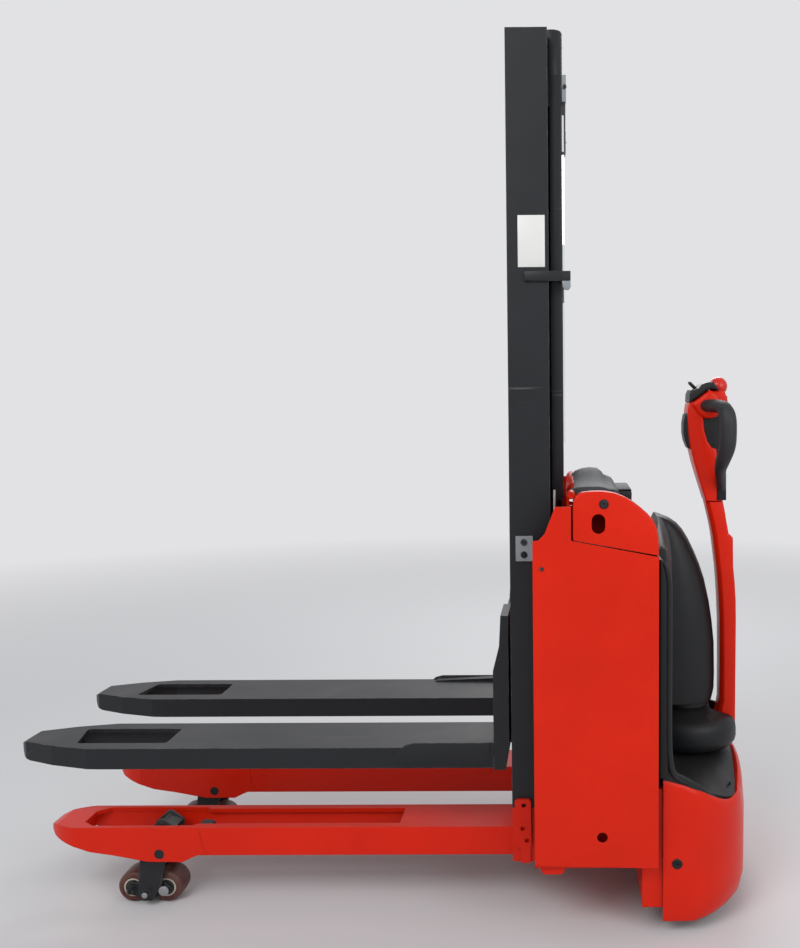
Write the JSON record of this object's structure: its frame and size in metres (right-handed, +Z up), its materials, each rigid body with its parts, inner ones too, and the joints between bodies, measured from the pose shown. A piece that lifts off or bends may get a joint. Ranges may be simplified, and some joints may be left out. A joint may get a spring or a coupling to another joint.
{
  "type": "pedestrian stacker",
  "caption": "Electric pedestrian stacker with raised load arms, telescopic mast, forks on a carriage, side-panelled battery body, drive unit with castors and a steering tiller",
  "frame": {"origin": "on the floor under the centre of the bounding box, machine parked with its load arms raised", "axes": "+X towards the driver and tiller end, forks point to -X; +Y to the machine's left seen from the forks' side; +Z up"},
  "size_m": [1.772, 0.8, 2.044],
  "materials": {
    "red_paint": "orange-red powder coat",
    "black_paint": "satin anthracite coat",
    "black_plastic": "grained black moulding",
    "grey_plastic": "soft dark grey moulding",
    "battery_case": "plain dark case",
    "steel": "zinc plated",
    "chrome": "ground hard chrome",
    "cast_iron": "black coated casting",
    "tread": "brown-red polyurethane",
    "tyre": "solid black tyre",
    "screen": "clear guard"
  },
  "bodies": {
    "load_frame": {"load_arm_right": "red_paint", "load_arm_left": "red_paint", "push_rod_right": "steel", "push_rod_left": "steel", "chassis_frame": "red_paint", "battery_box": "red_paint", "battery": "battery_case", "lift_guides": "steel", "side_panel_right": "red_paint", "side_panel_left": "red_paint", "outer_mast": "black_paint", "lift_cylinders": "black_paint", "mast_tie_bar": "black_paint", "mast_screen": "screen", "mast_brackets": "black_paint"},
    "hood": {"hood": "red_paint", "hood_console": "grey_plastic"},
    "inner_mast": {"inner_mast": "black_paint", "chain_pulleys": "steel", "lift_rods": "chrome", "rod_caps": "black_paint", "lift_chains": "steel"},
    "carriage": {"carriage": "black_paint", "fork_right": "black_paint", "fork_left": "black_paint"},
    "drive_unit": {"drive_frame": "red_paint", "drive_cover": "red_paint", "drive_tray": "black_plastic", "drive_shroud": "black_plastic", "motor_cover": "black_plastic"},
    "steering": {"drive_motor": "cast_iron", "drive_gearbox": "cast_iron", "steer_boss": "black_plastic"},
    "drive_wheel": {"drive_wheel_hub": "cast_iron", "drive_tyre": "tyre"},
    "tiller": {"tiller_arm": "red_paint", "tiller_head": "red_paint", "tiller_grips": "grey_plastic"},
    "link_right": {"bogie_link_right": "black_paint"},
    "rocker_right": {"bogie_rocker_right": "black_paint"},
    "load_roller_front_right": {"load_roller_front_right": "tread"},
    "load_roller_rear_right": {"load_roller_rear_right": "tread"},
    "castor_fork_right": {"castor_fork_right": "steel"},
    "castor_wheel_right": {"castor_wheel_right": "tread"},
    "link_left": {"bogie_link_left": "black_paint"},
    "rocker_left": {"bogie_rocker_left": "black_paint"},
    "load_roller_front_left": {"load_roller_front_left": "tread"},
    "load_roller_rear_left": {"load_roller_rear_left": "tread"},
    "castor_fork_left": {"castor_fork_left": "steel"},
    "castor_wheel_left": {"castor_wheel_left": "tread"}
  },
  "joints": [
    {"name": "initial_lift", "type": "slide", "parent": "load_frame", "child": "drive_unit", "axis": [0, 0, -1], "range_m": [-0.12, 0]},
    {"name": "mast_lift", "type": "slide", "parent": "load_frame", "child": "inner_mast", "axis": [0, 0, 1], "range_m": [0, 1.35]},
    {"name": "carriage_lift", "type": "slide", "parent": "inner_mast", "child": "carriage", "axis": [0, 0, 1], "range_m": [-0.13, 1.285]},
    {"name": "hood_hinge", "type": "hinge", "parent": "load_frame", "child": "hood", "pos_m": [0.452, 0, 1.002], "axis": [0, -1, 0], "range_deg": [0, 70]},
    {"name": "steer", "type": "hinge", "parent": "drive_unit", "child": "steering", "pos_m": [0.752, 0, 0.3], "axis": [0, 0, 1], "range_deg": [-90, 90]},
    {"name": "drive_wheel_spin", "type": "hinge", "parent": "steering", "child": "drive_wheel", "pos_m": [0.752, 0, 0.115], "axis": [0, 1, 0], "continuous": true},
    {"name": "tiller_tilt", "type": "hinge", "parent": "steering", "child": "tiller", "pos_m": [0.842, 0, 0.37], "axis": [0, 1, 0], "range_deg": [0, 75]},
    {"name": "link_right", "type": "hinge", "parent": "load_frame", "child": "link_right", "pos_m": [-0.543, -0.19, 0.1374], "axis": [0, 1, 0], "range_deg": [-0.5, 77.96]},
    {"name": "rocker_right", "type": "hinge", "parent": "link_right", "child": "rocker_right", "pos_m": [-0.583, -0.19, 0.034], "axis": [0, 1, 0], "range_deg": [-77.96, 0.5]},
    {"name": "load_roller_front_right_spin", "type": "hinge", "parent": "rocker_right", "child": "load_roller_front_right", "pos_m": [-0.624, -0.19, 0.038], "axis": [0, 1, 0], "continuous": true},
    {"name": "load_roller_rear_right_spin", "type": "hinge", "parent": "rocker_right", "child": "load_roller_rear_right", "pos_m": [-0.542, -0.19, 0.038], "axis": [0, 1, 0], "continuous": true},
    {"name": "castor_swivel_right", "type": "hinge", "parent": "drive_unit", "child": "castor_fork_right", "pos_m": [0.724, -0.262, 0.19], "axis": [0, 0, 1], "continuous": true},
    {"name": "castor_spin_right", "type": "hinge", "parent": "castor_fork_right", "child": "castor_wheel_right", "pos_m": [0.746, -0.262, 0.0625], "axis": [0, 1, 0], "continuous": true},
    {"name": "link_left", "type": "hinge", "parent": "load_frame", "child": "link_left", "pos_m": [-0.543, 0.19, 0.1374], "axis": [0, 1, 0], "range_deg": [-0.5, 77.96]},
    {"name": "rocker_left", "type": "hinge", "parent": "link_left", "child": "rocker_left", "pos_m": [-0.583, 0.19, 0.034], "axis": [0, 1, 0], "range_deg": [-77.96, 0.5]},
    {"name": "load_roller_front_left_spin", "type": "hinge", "parent": "rocker_left", "child": "load_roller_front_left", "pos_m": [-0.624, 0.19, 0.038], "axis": [0, 1, 0], "continuous": true},
    {"name": "load_roller_rear_left_spin", "type": "hinge", "parent": "rocker_left", "child": "load_roller_rear_left", "pos_m": [-0.542, 0.19, 0.038], "axis": [0, 1, 0], "continuous": true},
    {"name": "castor_swivel_left", "type": "hinge", "parent": "drive_unit", "child": "castor_fork_left", "pos_m": [0.724, 0.262, 0.19], "axis": [0, 0, 1], "continuous": true},
    {"name": "castor_spin_left", "type": "hinge", "parent": "castor_fork_left", "child": "castor_wheel_left", "pos_m": [0.746, 0.262, 0.0625], "axis": [0, 1, 0], "continuous": true}
  ],
  "couplings": [
    {"joint": "link_right", "follows": "initial_lift", "rad_per_m": -11.266},
    {"joint": "rocker_right", "follows": "initial_lift", "rad_per_m": 11.266},
    {"joint": "link_left", "follows": "initial_lift", "rad_per_m": -11.266},
    {"joint": "rocker_left", "follows": "initial_lift", "rad_per_m": 11.266}
  ]
}
